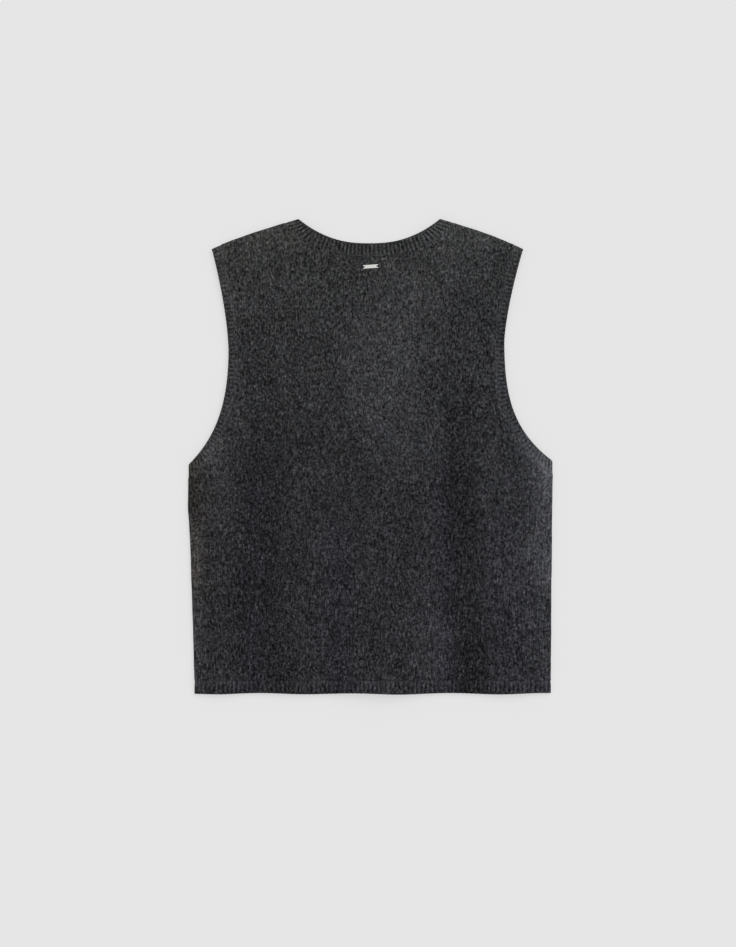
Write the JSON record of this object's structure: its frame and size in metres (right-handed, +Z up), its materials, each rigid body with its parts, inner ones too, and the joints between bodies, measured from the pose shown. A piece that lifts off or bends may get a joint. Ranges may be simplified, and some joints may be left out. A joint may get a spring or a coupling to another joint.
{
  "type": "sleeveless wool cardigan",
  "caption": "Sleeveless knitted wool cardigan laid flat, back up, with ribbed neck, armholes and hem, a buttoned V front underneath and a small metal plate below the neck.",
  "frame": {"origin": "on the surface the garment lies on, at the middle of its width and length", "axes": "+X towards the wearer's right, +Y from hem to neck, +Z up out of the back"},
  "size_m": [0.4376, 0.5706, 0.0144],
  "materials": {
    "wool_body": "brushed charcoal melange wool jersey, matt with a short nap",
    "wool_rib": "charcoal melange wool in 1x1 rib, matt",
    "button": "dark horn-look resin, satin",
    "thread": "dark sewing thread",
    "plate": "bright silver-coloured metal, finely brushed, bare"
  },
  "bodies": {
    "root": {"back_panel": "wool_body", "front_panel_left": "wool_body", "front_panel_right": "wool_body", "back_hem_rib": "wool_rib", "front_hem_rib_left": "wool_rib", "front_hem_rib_right": "wool_rib", "armhole_band_left": "wool_rib", "armhole_band_right": "wool_rib", "button_band": "wool_rib", "button_1": "button", "button_2": "button", "button_3": "button", "button_4": "button", "button_5": "button", "button_shank_1": "thread", "button_shank_2": "thread", "button_shank_3": "thread", "button_shank_4": "thread", "button_shank_5": "thread", "back_plate": "plate"}
  },
  "joints": []
}
